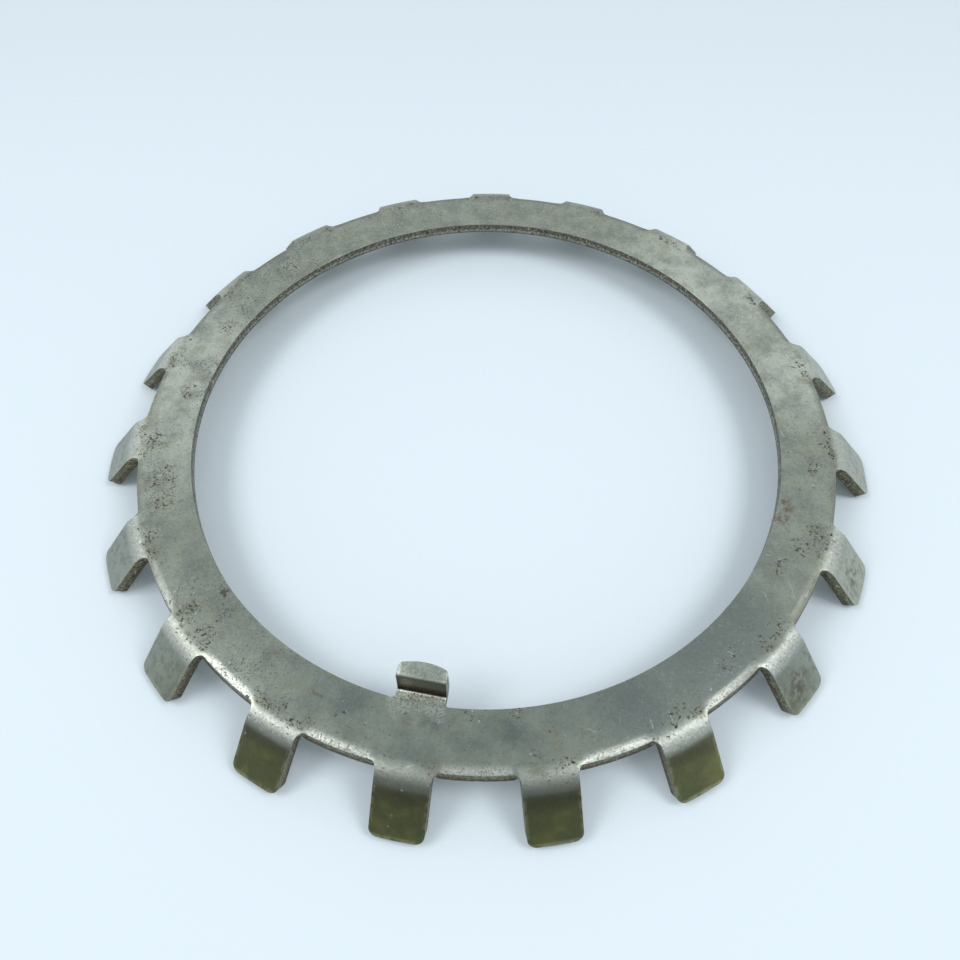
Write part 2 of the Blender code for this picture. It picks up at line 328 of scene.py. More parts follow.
def press_vertex(place):
    """Where a point of the flat blank lands when the rim is pressed down over the die.

    Between the tabs the rim is rolled over too, and its upper edge is drawn in, so that the cut wall
    faces slightly upwards.
    """
    distance = place.xy.length
    if distance <= ROLL_START:
        return place + Vector((0, 0, TOP_HEIGHT))
    tab_bearing = nearest_tab(place)
    across = distance * math.sin(math.atan2(place.y, place.x) - tab_bearing)
    slope = min(max(distance - BEND_START, 0) / FLARE_BEND_RADIUS, FLARE_ANGLE)
    straight = distance - along_flare(slope)
    radius = BEND_START + FLARE_BEND_RADIUS * math.sin(slope) + straight * math.cos(slope)
    drop = FLARE_BEND_RADIUS * (1 - math.cos(slope)) + straight * math.sin(slope)
    beside = smooth_step((abs(across) - TAB_WIDTH / 2) / TAB_ROOT_FILLET)
    radius += place.z * math.sin(slope) * (1 - beside)
    drawn_in = RIM_WALL_LEAN * beside * slope / RIM_SLOPE
    radius -= drawn_in * (1 + place.z / SHEET_THICKNESS)
    rolled = smooth_step((distance - ROLL_START) / (along_flare(RIM_SLOPE) - ROLL_START))
    drop += RIM_ROLL_DROP * rolled * smooth_step((abs(across) - TAB_WIDTH / 2) / (3 * TAB_ROOT_FILLET))
    height = TOP_HEIGHT - drop + place.z * math.cos(slope)
    pressed = Vector((math.sqrt(radius ** 2 - across ** 2), across, height))
    return Matrix.Rotation(tab_bearing, 3, "Z") @ pressed


def make_ring():
    """The pressed ring with its tabs, the tang still missing."""
    shape = bmesh.new()
    cut_blank(shape)
    thicken_blank(shape)
    round_blank(shape)
    add_bend_rows(shape)
    mark_sheet(shape)
    for vert in shape.verts:
        vert.co = press_vertex(vert.co)
    mesh = bpy.data.meshes.new("ring")
    shape.to_mesh(mesh)
    shape.free()
    return mesh


# Shape of the tang

def arc(centre, radius, start, end, steps):
    """Points of an arc from the start angle to the end angle, both included."""
    points = []
    for step in range(steps + 1):
        angle = start + (end - start) * step / steps
        points.append(Vector(centre) + radius * Vector((math.cos(angle), math.sin(angle))))
    return points


def round_corner(before, corner, after, radius):
    """Points of the arc that rounds the corner between two straight runs."""
    back = (before - corner).normalized()
    ahead = (after - corner).normalized()
    half = back.angle(ahead) / 2
    centre = corner + (back + ahead).normalized() * radius / math.sin(half)
    first = corner + back * radius / math.tan(half) - centre
    last = corner + ahead * radius / math.tan(half) - centre
    start = math.atan2(first.y, first.x)
    return arc(centre, radius, start, start - first.angle_signed(last), ROUND_STEPS)


def mesh_from_outline(name, outline, depth):
    """A flat outline, extruded by half the depth to each side, as a closed mesh."""
    curve = bpy.data.curves.new(name, "CURVE")
    curve.dimensions = "2D"
    curve.fill_mode = "BOTH"
    curve.extrude = depth / 2
    spline = curve.splines.new("POLY")
    spline.points.add(len(outline) - 1)
    for point, place in zip(spline.points, outline):
        point.co = (place.x, place.y, 0.0, 1.0)
    spline.use_cyclic_u = True
    guide = add_object(name, curve)
    graph = bpy.context.evaluated_depsgraph_get()
    mesh = bpy.data.meshes.new_from_object(guide.evaluated_get(graph))
    bpy.data.objects.remove(guide, do_unlink=True)
    shape = bmesh.new()
    shape.from_mesh(mesh)
    bmesh.ops.remove_doubles(shape, verts=shape.verts, dist=MERGE)
    bmesh.ops.recalc_face_normals(shape, faces=shape.faces)
    shape.to_mesh(mesh)
    shape.free()
    return mesh


def combine(first, second, operation):
    """Cut or join two meshes, and return the result as a new mesh."""
    target = add_object("target", first)
    tool = add_object("tool", second)
    modifier = target.modifiers.new("combine", "BOOLEAN")
    modifier.operation = operation
    modifier.solver = "EXACT"
    modifier.object = tool
    graph = bpy.context.evaluated_depsgraph_get()
    mesh = bpy.data.meshes.new_from_object(target.evaluated_get(graph))
    for item in (target, tool):
        bpy.data.objects.remove(item, do_unlink=True)
    return mesh


def tang_side_outline():
    """Side view of the tang: a flat root, a steep step up and a short level top, X away from the axis."""
    top = TOP_HEIGHT - TANG_SEAT_GAP
    under = TOP_HEIGHT - SHEET_THICKNESS + TANG_SEAT_GAP
    crest = top + TANG_RISE
    lip_under = crest - SHEET_THICKNESS
    embed = BORE_RADIUS + SHEET_THICKNESS
    back_shift = SHEET_THICKNESS / math.cos(TANG_LEAN)
    step_foot = BORE_RADIUS - TANG_STEP_INSET
    overrun = step_foot - TANG_STEP_RUN - TANG_TOP_LENGTH - SHEET_THICKNESS
    valley = Vector((step_foot, top))
    ridge = Vector((step_foot - TANG_STEP_RUN, crest))
    heel = Vector((step_foot - back_shift + (top - under) * math.tan(TANG_LEAN), under))
    notch = Vector((step_foot - back_shift - (lip_under - top) * math.tan(TANG_LEAN), lip_under))
    start = Vector((embed, top))
    finish = Vector((embed, under))
    end_top = Vector((overrun, crest))
    end_under = Vector((overrun, lip_under))
    outline = [start]
    outline += round_corner(start, valley, ridge, TANG_BEND_RADIUS)
    outline += round_corner(valley, ridge, end_top, TANG_BEND_RADIUS)
    outline += [end_top, end_under]
    outline += round_corner(end_under, notch, heel, TANG_BEND_RADIUS)
    outline += round_corner(notch, heel, finish, TANG_BEND_RADIUS + SHEET_THICKNESS)
    outline.append(finish)
    return outline


def tang_plan_outline():
    """Plan of the tang: fillets into the bore, parallel sides and a rounded, slightly bowed end."""
    half = TANG_WIDTH / 2
    embed = BORE_RADIUS + 2 * SHEET_THICKNESS
    offset = half + TANG_ROOT_FILLET
    centre_x = math.sqrt((BORE_RADIUS - TANG_ROOT_FILLET) ** 2 - offset ** 2)
    bearing = math.atan2(offset, centre_x)
    fillet = arc((centre_x, offset), TANG_ROOT_FILLET, bearing, -math.pi / 2, ROUND_STEPS)
    tip = BORE_RADIUS - TANG_STEP_INSET - TANG_STEP_RUN - TANG_TOP_LENGTH
    swing = math.asin((half - TANG_CORNER_RADIUS) / TANG_END_RADIUS)
    end = arc((tip + TANG_END_RADIUS, 0.0), TANG_END_RADIUS, math.pi - swing, math.pi + swing, ROUND_STEPS)
    shoulder = end[0]
    corner = shoulder + Vector((math.tan(swing), 1.0)) * (half - shoulder.y)
    corner_radius = (corner - shoulder).length * math.tan((math.pi / 2 + swing) / 2)
    rounding = round_corner(Vector((centre_x, half)), corner, shoulder, corner_radius)
    upper = [Vector((embed, offset))] + fillet + rounding[:-1]
    lower = [Vector((point.x, -point.y)) for point in reversed(upper)]
    return upper + end + lower


def finish_tang(mesh):
    """Round the edges of the tang's upper face and mark its corners as the sheet's are marked."""
    shape = bmesh.new()
    shape.from_mesh(mesh)
    outlook = Vector((1, 0, 1)).normalized()
    rolled = []
    for edge in shape.edges:
        upper_faces = [face for face in edge.link_faces if face.normal.dot(outlook) > TANG_UPPER_NORMAL]
        if len(upper_faces) == 1 and edge.calc_face_angle() > TANG_EDGE_ANGLE:
            rolled.append(edge)
    round_edges(shape, rolled, EDGE_ROUNDING, EDGE_STEPS)
    layers = [shape.loops.layers.float.new(name) for name in ("along", "across", "depth", "tang")]
    for face in shape.faces:
        face.normal_update()
        side = abs(face.normal.y) > TANG_SIDE_NORMAL_Y or face.normal.x < TANG_END_NORMAL_X
        face.material_index = 1 if side else 0
        for corner in face.loops:
            values = (TANG_ALONG, TANG_ACROSS, TANG_WALL_DEPTH if side else 0.0, 1.0)
            for layer, value in zip(layers, values):
                corner[layer] = value
        face.smooth = True
    for edge in shape.edges:
        edge.smooth = edge.calc_face_angle() < SMOOTH_ANGLE
    shape.to_mesh(mesh)
    shape.free()


def make_tang():
    """The tang as a solid to join to the ring: its side view, cut to its plan."""
    side = mesh_from_outline("tang", tang_side_outline(), TANG_WIDTH + 6 * TANG_ROOT_FILLET)
    side.transform(Matrix(((1, 0, 0, 0), (0, 0, -1, 0), (0, 1, 0, 0), (0, 0, 0, 1))))
    plan = mesh_from_outline("tang_plan", tang_plan_outline(), 4 * (TOP_HEIGHT + TANG_RISE))
    mesh = combine(side, plan, "INTERSECT")
    finish_tang(mesh)
    return mesh


# Colours of the rolled faces

KHAKI_FILM = (0.325, 0.350, 0.288, 1)
FRONT_RIGHT_SHADED_FILM = (0.310, 0.338, 0.282, 1)
PAINTED_SHEEN_FILM = (0.585, 0.62, 0.53, 1)
WARM_FILM = (0.265, 0.258, 0.185, 1)
BLUE_GREY_TONE_AND_SHADE = (0.125, 0.155, 0.158, 1)
LIGHT_GRAIN = (0.58, 0.61, 0.54, 1)
DARK_GRAIN = (0.11, 0.110, 0.085, 1)
FINE_HATCHING = (0.46, 0.49, 0.45, 1)
TAB_GREY = (0.30, 0.325, 0.285, 1)
SHEEN_TAB_GREY = (0.46, 0.465, 0.395, 1)
TAB_STREAK = (0.12, 0.115, 0.085, 1)
DARK_OLIVE_FILM_AND_REFLECTION = (0.100, 0.106, 0.032, 1)
OLIVE_FILM_AND_REFLECTION = (0.160, 0.158, 0.044, 1)
TAB_STAIN = (0.10, 0.090, 0.055, 1)
TAB_DARK_REFLECTION_BAND = (0.06, 0.058, 0.045, 1)
WORN_TAB_EDGE = (0.42, 0.40, 0.27, 1)
CREST_HIGHLIGHT = (0.64, 0.66, 0.61, 1)
FOREMOST_CREST_HIGHLIGHT = (0.36, 0.38, 0.335, 1)
RIM_HIGHLIGHT = (0.56, 0.58, 0.54, 1)
BROWNED_GRIT = (0.20, 0.165, 0.13, 1)
SCUFFED_ROOT = (0.56, 0.57, 0.48, 1)
ROOT_DIRT_AND_SHADE = (0.11, 0.105, 0.08, 1)
RIM_PAINTED_SHADE = (0.15, 0.15, 0.115, 1)
WORN_EDGE = (0.68, 0.69, 0.62, 1)
TANG_TOP = (0.56, 0.59, 0.51, 1)
TANG_PATCH = (0.27, 0.29, 0.235, 1)
TANG_GLINT = (0.82, 0.84, 0.78, 1)
TANG_SIDE_GLINT = (0.85, 0.87, 0.82, 1)
TANG_RIDGE_SHADE = (0.22, 0.23, 0.19, 1)
TANG_STEP_SHADE = (0.15, 0.152, 0.118, 1)
TANG_FOOT_GRIME_AND_SHADE = (0.068, 0.028, 0.016, 1)
VALLEY_PAINTED_SHADE = (0.07, 0.05, 0.035, 1)
VALLEY_HIGHLIGHT_LINE = (0.70, 0.72, 0.64, 1)
FLECK = (0.85, 0.88, 0.86, 1)
SCRATCH = (0.65, 0.68, 0.66, 1)
PIT_HALO = (0.17, 0.155, 0.105, 1)
PIT = (0.060, 0.052, 0.040, 1)
DARK_SPOT = (0.070, 0.062, 0.048, 1)
RUST = (0.165, 0.088, 0.048, 1)
BROWNED_UNDERSIDE = (0.17, 0.15, 0.11, 1)

# Colours of the cut walls

BORE_SHEARED = (0.125, 0.115, 0.085, 1)
BORE_TORN = (0.27, 0.285, 0.24, 1)
# The rim walls' khaki is partly their own brown, partly a painted yellow reflection.
RIM_SHEARED = (0.150, 0.142, 0.078, 1)
RIM_TORN = (0.112, 0.100, 0.056, 1)
REAR_WALL = (0.24, 0.235, 0.175, 1)
TANG_WALL = (0.33, 0.35, 0.31, 1)
WALL_DARK_GRIT = (0.055, 0.043, 0.03, 1)
WALL_LIGHT_GRIT = (0.55, 0.55, 0.46, 1)
WALL_RUST = (0.15, 0.085, 0.045, 1)
WALL_PIT = (0.035, 0.03, 0.022, 1)
WALL_LOWER_EDGE = (0.12, 0.055, 0.03, 1)


# Materials

def add(tree, kind, values=None, **settings):
    """A node with its settings, and its inputs by name or number: a value, or an output to link."""
    node = tree.nodes.new(kind)
    for name, setting in settings.items():
        setattr(node, name, setting)
    for key, value in (values or {}).items():
        if isinstance(value, bpy.types.NodeSocket):
            tree.links.new(value, node.inputs[key])
        else:
            node.inputs[key].default_value = value
    return node


def maths(tree, operation, first, second=0.5, clamp=False):
    """One step of arithmetic."""
    return add(tree, "ShaderNodeMath", {0: first, 1: second}, operation=operation, use_clamp=clamp).outputs[0]


def repeat(tree, operation, values):
    """The same step of arithmetic through several values."""
    total = values[0]
    for value in values[1:]:
        total = maths(tree, operation, total, value)
    return total


def product(tree, *values):
    """Several values multiplied."""
    return repeat(tree, "MULTIPLY", values)


def plus(tree, *values):
    """Several values added."""
    return repeat(tree, "ADD", values)


def highest(tree, *values):
    """The highest of several values."""
    return repeat(tree, "MAXIMUM", values)


def minus(tree, first, *others):
    """A value with others taken off it."""
    return repeat(tree, "SUBTRACT", (first,) + others)


def vector_maths(tree, operation, first, second):
    """One step of arithmetic with two vectors, or with a vector and a number for SCALE."""
    key = "Scale" if operation == "SCALE" else 1
    return add(tree, "ShaderNodeVectorMath", {0: first, key: second}, operation=operation).outputs[0]


def fade(tree, value, low, high):
    """A mask that rises smoothly from 0 at low to 1 at high, or falls where low is above high."""
    return add(tree, "ShaderNodeMapRange", {"Value": value, "From Min": low, "From Max": high},
               interpolation_type="SMOOTHSTEP").outputs["Result"]


def band(tree, value, low, rise, fall, high):
    """A mask that is 0 up to low and from high on, and 1 between rise and fall."""
    return product(tree, fade(tree, value, low, rise), fade(tree, value, high, fall))


def within(tree, value, outer, inner):
    """A mask that is 1 where the value lies closer to 0 than inner, and 0 beyond outer."""
    return fade(tree, maths(tree, "ABSOLUTE", value), outer, inner)


def blend(tree, mask, first, second):
    """Two colours mixed by a mask."""
    return add(tree, "ShaderNodeMix", {0: mask, 6: first, 7: second}, data_type="RGBA").outputs[2]


def paint(tree, under, colour, *masks):
    """A colour laid over what is under it, as thickly as the masks multiplied say."""
    return blend(tree, product(tree, *masks), under, colour)


def noise(tree, place, scale, detail=3.0, roughness=0.55):
    """Plain noise, scale in cycles for each millimetre."""
    return add(tree, "ShaderNodeTexNoise", {"Vector": place, "Scale": scale, "Detail": detail,
                                            "Roughness": roughness}).outputs["Fac"]


def turned(tree, place, degrees, settings):
    """The place turned about Z, with more settings of the Mapping node."""
    values = {"Vector": place, "Rotation": (0, 0, math.radians(degrees))}
    return add(tree, "ShaderNodeMapping", {**values, **settings}).outputs[0]


def new_group(name, inputs, outputs):
    """An empty shader node group with float inputs and outputs, and a vector input called Place."""
    tree = bpy.data.node_groups.new(name, "ShaderNodeTree")
    tree.interface.new_socket("Place", in_out="INPUT", socket_type="NodeSocketVector")
    for socket in inputs:
        tree.interface.new_socket(socket, in_out="INPUT", socket_type="NodeSocketFloat")
    for socket in outputs:
        tree.interface.new_socket(socket, in_out="OUTPUT", socket_type="NodeSocketFloat")
    return tree, tree.nodes.new("NodeGroupInput").outputs, tree.nodes.new("NodeGroupOutput").inputs


def place_group(tree, group, values):
    """The outputs of the group, placed in this tree as a node."""
    return add(tree, "ShaderNodeGroup", values, node_tree=group).outputs


def near_any(tree, place, spots, soft=0.3, height=TOP_HEIGHT / MM):
    """A mask that is 1 in the middle of each spot and falls to 0 at its radius."""
    total = 0.0
    for x, y, radius in spots:
        away = add(tree, "ShaderNodeVectorMath", {0: place, 1: (x, y, height)},
                   operation="DISTANCE").outputs["Value"]
        total = highest(tree, total, fade(tree, away, radius, radius * soft))
    return total


def pits_group():
    """Small ragged corroded pits.

    Density is 0 where there are few and 1 in a cluster, and Size is in millimetres.
    """
    tree, given, result = new_group("pits", ("Density", "Size"), ("Mask", "Halo"))
    scale = maths(tree, "DIVIDE", 1.0, given["Size"])
    grain = noise(tree, given["Place"], scale, 3.0, 0.6)
    level = plus(tree, grain, product(tree, given["Density"], 0.16))
    tree.links.new(fade(tree, level, 0.70, 0.75), result["Mask"])
    tree.links.new(fade(tree, level, 0.58, 0.70), result["Halo"])
    return tree


def scratches_group():
    """Fine straight scratches in several directions.

    Amount is the share of the cells of a grid that hold one, and Length is in millimetres.
    """
    tree, given, result = new_group("scratches", ("Amount", "Length"), ("Mask",))
    total = 0.0
    for turn, apart in ((18, 1.5), (64, 2.2), (112, 1.7), (151, 2.6)):
        rotated = turned(tree, given["Place"], turn, {"Location": (turn * 3.7, turn * 1.9, 0)})
        shrink = add(tree, "ShaderNodeCombineXYZ", {"X": maths(tree, "DIVIDE", 1.0, given["Length"]),
                                                    "Y": 1 / apart, "Z": 1 / apart}).outputs[0]
        stretched = vector_maths(tree, "MULTIPLY", rotated, shrink)
        cells = add(tree, "ShaderNodeTexVoronoi", {"Vector": stretched, "Scale": 1.0},
                    voronoi_dimensions="2D", feature="F1")
        pick = add(tree, "ShaderNodeSeparateColor", {0: cells.outputs["Color"]}).outputs
        shown = maths(tree, "LESS_THAN", pick[0], given["Amount"])
        line = product(tree, fade(tree, cells.outputs["Distance"], 0.09, 0.03), shown)
        total = highest(tree, total, line)
    broken = fade(tree, noise(tree, given["Place"], 1.6, 2.0), 0.36, 0.52)
    tree.links.new(product(tree, total, broken), result["Mask"])
    return tree


def mottle_group():
    """Uneven tone of the steel.

    Broad and Warm lie in patches, Light, Dark and Grain are like sand, and Hatch is of fine crossed lines.
    """
    tree, given, result = new_group("mottle", (), ("Broad", "Warm", "Light", "Dark", "Grain", "Hatch"))
    place = given["Place"]
    shifted = vector_maths(tree, "ADD", place, (31.0, -17.0, 9.0))
    grain = noise(tree, place, 2.0, 4.0, 0.68)
    hatch = 0.0
    for turn in (35, -32):
        lines = turned(tree, place, turn, {"Scale": (0.35, 3.0, 1.0)})
        hatch = highest(tree, hatch, fade(tree, noise(tree, lines, 1.0, 2.0), 0.56, 0.78))
    tree.links.new(fade(tree, noise(tree, place, 0.17, 5.0, 0.62), 0.40, 0.64), result["Broad"])
    tree.links.new(fade(tree, noise(tree, shifted, 0.26, 4.0, 0.6), 0.44, 0.66), result["Warm"])
    tree.links.new(fade(tree, grain, 0.52, 0.74), result["Light"])
    tree.links.new(fade(tree, grain, 0.46, 0.28), result["Dark"])
    tree.links.new(grain, result["Grain"])
    tree.links.new(hatch, result["Hatch"])
    return tree


def new_material(name):
    """A new material, with its Principled shader."""
    material = bpy.data.materials.new(name)
    material.use_nodes = True
    return material, material.node_tree.nodes["Principled BSDF"]


def sheet_reading(tree):
    """What a material reads, in millimetres: the place, and where it lies on the flat sheet.

    "past" is the distance past the line where the bends start, and "rise" is the height over the ring.
    """
    coordinates = add(tree, "ShaderNodeTexCoord")
    place = vector_maths(tree, "SCALE", coordinates.outputs["Object"], 1 / MM)
    read = {"place": place}
    for name in ("along", "across", "depth", "tang"):
        read[name] = add(tree, "ShaderNodeAttribute", attribute_name=name).outputs["Fac"]
    sides = add(tree, "ShaderNodeSeparateXYZ", {0: place}).outputs
    for name in ("X", "Y", "Z"):
        read[name] = sides[name]
    read["past"] = minus(tree, read["along"], BEND_START / MM)
    read["rise"] = minus(tree, read["Z"], TOP_HEIGHT / MM)
    return read


def read_face(tree, read):
    """Add what several marks on the rolled faces share, such as ragged places and the upper side's mask."""
    place = read["place"]
    swirl = add(tree, "ShaderNodeTexNoise", {"Vector": place, "Scale": 0.55, "Detail": 2.0}).outputs["Color"]
    swirl = vector_maths(tree, "SUBTRACT", swirl, (0.5, 0.5, 0.5))
    read["warped"] = vector_maths(tree, "ADD", place, vector_maths(tree, "SCALE", swirl, 5.0))
    read["upper"] = fade(tree, read["depth"], 1.0, 0.3)
    read["level"] = fade(tree, read["tang"], 0.9, 0.1)
    read["grit"] = noise(tree, place, 2.4, 4.0, 0.7)
    read["speckle"] = plus(tree, product(tree, read["mottle"]["Light"], 0.7), 0.45)
    front = minus(tree, product(tree, read["X"], 0.17), product(tree, read["Y"], 0.98))
    read["front"] = fade(tree, front, 47.0, 66.0)
    read["foremost"] = fade(tree, front, 66.0, 71.0)


def read_rim(tree, read):
    """Add the masks of the tabs and of the rim between them: painted highlights on the crests and on the rim in
    front, painted shade on the rim at the sides, and grime with painted shade at the tab roots.
    """
    past, across, upper = read["past"], read["across"], read["upper"]
    read["past_bend"] = product(tree, fade(tree, past, 2.4, 5.8), upper)
    # The crests' painted highlight is full in front and weaker towards the back.
    highlight_weaker_behind = plus(tree, product(tree, fade(tree, read["Y"], 50.0, 0.0), 0.85), 0.15)
    read["crest"] = product(tree, band(tree, past, 0.2, 1.4, 2.8, 4.8), fade(tree, across, 5.1, 4.7),
                            upper, highlight_weaker_behind)
    # Where the rolled rim in front gets a painted highlight.
    read["rim_band"] = product(tree, fade(tree, past, -1.6, 0.6), upper, fade(tree, across, 5.2, 6.6),
                               fade(tree, read["Y"], -34.0, -54.0))
    # Where the rim at the sides is painted darker to take off a highlight.
    read["dull_rim"] = product(tree, fade(tree, past, -1.2, 0.3), fade(tree, across, 5.0, 6.0),
                               fade(tree, read["Y"], -56.0, -40.0), upper)
    # Along the tab roots: partly grime, partly painted shade that mutes a highlight.
    read["dirt"] = product(tree, fade(tree, past, -0.9, 0.2), fade(tree, across, 5.6, 4.2), upper)


def read_tang(tree, read):
    """Add the masks of the tang and of the scuffed steel round its root."""
    tang, rise = read["tang"], read["rise"]
    low = 0.15
    high = TANG_RISE / MM - 0.35
    bent = add(tree, "ShaderNodeSeparateXYZ", {0: read["warped"]}).outputs
    read["scuffed"] = product(tree, within(tree, bent["X"], 6.2, 3.6),
                              band(tree, bent["Y"], -64.0, -61.2, -54.0, -50.0), fade(tree, rise, 0.6, 0.2),
                              read["upper"], fade(tree, read["grit"], 0.38, 0.64))
    # The tang's step is painted dark: painted shade.
    read["step"] = product(tree, tang, read["upper"], band(tree, rise, low, low + 0.25, high, high + 0.3))
    # The step's foot: partly brown grime, partly painted shade.
    read["foot"] = product(tree, read["step"], fade(tree, rise, low + 2.4, low + 1.2))
    read["tang_top"] = product(tree, tang, fade(tree, rise, high, high + 0.3))
    from_ridge = plus(tree, read["Y"], (BORE_RADIUS - TANG_STEP_INSET - TANG_STEP_RUN) / MM)
    # The tang's ridge is painted darker to take off a highlight: painted shade.
    read["ridge"] = product(tree, within(tree, from_ridge, 0.60, 0.25), tang,
                            fade(tree, rise, high - 0.2, high + 0.1))
    from_valley = plus(tree, read["Y"], (BORE_RADIUS - TANG_STEP_INSET) / MM + 0.42)
    broken = fade(tree, noise(tree, read["place"], 1.2, 2.0), 0.36, 0.46)
    # Thin bright line along the valley: painted highlight.
    read["valley_highlight"] = product(tree, within(tree, from_valley, 0.16, 0.05), tang, read["upper"], broken)
    # Darker in the valley at the step's foot: painted shade.
    read["valley"] = product(tree, fade(tree, from_valley, 0.10, 0.30), tang,
                             fade(tree, rise, low + 0.5, low), read["upper"])


def film_colour(tree, read):
    """The dull film: khaki, a little darker and less grainy towards the front right as painted shade, blue-grey
    at random, with blue-grey patches in front painted as shade and lighter patches painted as reflection.
    """
    mottle = read["mottle"]
    # The film is a little darker and less grainy towards the front right: painted shade.
    toward_front_right = minus(tree, product(tree, read["X"], 0.38), product(tree, read["Y"], 0.92))
    wander = product(tree, minus(tree, noise(tree, read["place"], 0.05, 3.0), 0.5), 50.0)
    toward_front_right = fade(tree, plus(tree, toward_front_right, wander), -8.0, 74.0)
    colour = blend(tree, toward_front_right, KHAKI_FILM, FRONT_RIGHT_SHADED_FILM)
    # Lighter patches at the back right, right and left: painted reflection.
    colour = paint(tree, colour, PAINTED_SHEEN_FILM, near_any(tree, read["warped"], PAINTED_SHEEN_PATCHES, 0.2), 0.75)
    colour = paint(tree, colour, WARM_FILM, mottle["Warm"], 0.45)
    # Blue-grey patches in front are painted shade; the broad blue-grey mottle is the steel's own random tone.
    shaded_blue_grey = product(tree, near_any(tree, read["warped"], SHADED_BLUE_GREY_PATCHES, 0.1), 0.64)
    colour = paint(tree, colour, BLUE_GREY_TONE_AND_SHADE, highest(tree, shaded_blue_grey, product(tree, mottle["Broad"], 0.38)))
    grains = minus(tree, 0.38, product(tree, toward_front_right, 0.16))
    colour = paint(tree, colour, LIGHT_GRAIN, mottle["Light"], grains)
    colour = paint(tree, colour, DARK_GRAIN, mottle["Dark"], 0.55)
    return paint(tree, colour, FINE_HATCHING, mottle["Hatch"], 0.12)


def tab_colour(tree, read, colour):
    """The straight part of the tabs: yellow-green and dark in front, partly a film and partly painted
    reflection, with a band of painted dark reflection, and grey with brown streaks at the sides, paler at the
    right as painted sheen.
    """
    place, past_bend, front = read["place"], read["past_bend"], read["front"]
    # Paler grey on the tabs at the right, where they face the light: painted sheen.
    right_tabs_sheen = product(tree, fade(tree, read["X"], 40.0, 66.0), fade(tree, read["Y"], -40.0, -22.0))
    grey = blend(tree, right_tabs_sheen, TAB_GREY, SHEEN_TAB_GREY)
    colour = blend(tree, product(tree, past_bend, 0.75), colour, grey)
    streaks = vector_maths(tree, "MULTIPLY", place, (0.9, 0.9, 0.22))
    streaks = fade(tree, noise(tree, streaks, 0.9, 4.0, 0.6), 0.47, 0.66)
    colour = paint(tree, colour, TAB_STREAK, past_bend, streaks, 0.42)
    # Yellow-green on the front tabs' faces: partly a film on the steel, partly a painted reflection of yellow
    # and of dark surroundings.
    olive_film_and_reflection = blend(tree, read["mottle"]["Warm"], DARK_OLIVE_FILM_AND_REFLECTION, OLIVE_FILM_AND_REFLECTION)
    colour = blend(tree, product(tree, past_bend, front, 0.88), colour, olive_film_and_reflection)
    ragged = fade(tree, noise(tree, place, 0.8, 4.0, 0.65), 0.38, 0.60)
    stains = near_any(tree, read["warped"], TAB_STAINS, 0.3, STAIN_HEIGHT)
    colour = paint(tree, colour, TAB_STAIN, stains, past_bend, ragged, 0.80)
    # A dark band past each front tab's bend: painted dark reflection.
    painted_dark_reflection = product(tree, band(tree, read["past"], 3.0, 5.0, 5.4, 8.4), read["upper"], front)
    colour = paint(tree, colour, TAB_DARK_REFLECTION_BAND, painted_dark_reflection, 0.55)
    tip = (along_flare(FLARE_ANGLE) + FLARE_LENGTH - TIP_TRIM) / MM
    worn = highest(tree, product(tree, fade(tree, read["along"], tip - 1.0, tip - 0.3), 0.65),
                   product(tree, fade(tree, read["across"], 4.0, 4.6), 0.35))
    broken = fade(tree, noise(tree, place, 0.7, 3.0), 0.34, 0.56)
    return paint(tree, colour, WORN_TAB_EDGE, worn, past_bend, broken)


def rim_colour(tree, read, colour):
    """The tabs' crests and the rolled rim in front with painted highlights, speckled, painted shade on the rim
    at the sides, grime and painted shade at the roots, the scuffed tang root, and worn edges.
    """
    grit, crest, rim_band = read["grit"], read["crest"], read["rim_band"]
    # Light crests on the tabs: painted highlight, dimmer on the foremost tabs.
    crest_highlight_tone = blend(tree, read["foremost"], CREST_HIGHLIGHT, FOREMOST_CREST_HIGHLIGHT)
    colour = blend(tree, product(tree, crest, read["speckle"]), colour, crest_highlight_tone)
    # Light speckled band along the rolled rim in front: painted highlight.
    colour = paint(tree, colour, RIM_HIGHLIGHT, rim_band, fade(tree, grit, 0.34, 0.58), 0.9)
    browned = highest(tree, rim_band, product(tree, crest, 0.5))
    colour = paint(tree, colour, BROWNED_GRIT, browned, fade(tree, grit, 0.48, 0.38), 0.60)
    colour = paint(tree, colour, SCUFFED_ROOT, read["scuffed"], 0.55)
    # Darker line along the tab roots: partly grime, partly painted shade.
    root_line = fade(tree, read["past"], 1.7, 0.6)
    colour = paint(tree, colour, ROOT_DIRT_AND_SHADE, read["dirt"], root_line, read["mottle"]["Warm"], 0.40)
    # Darker rim at the sides: painted shade over a highlight.
    colour = paint(tree, colour, RIM_PAINTED_SHADE, read["dull_rim"], 0.5)
    edge = product(tree, band(tree, read["depth"], 0.02, 0.10, 0.4, 0.6),
                   fade(tree, noise(tree, read["place"], 0.8, 3.0), 0.36, 0.56))
    bore = fade(tree, read["along"], BORE_RADIUS / MM + 1.2, BORE_RADIUS / MM + 0.6)
    shine = plus(tree, product(tree, bore, 0.35), 0.55)
    return paint(tree, colour, WORN_EDGE, edge, shine)


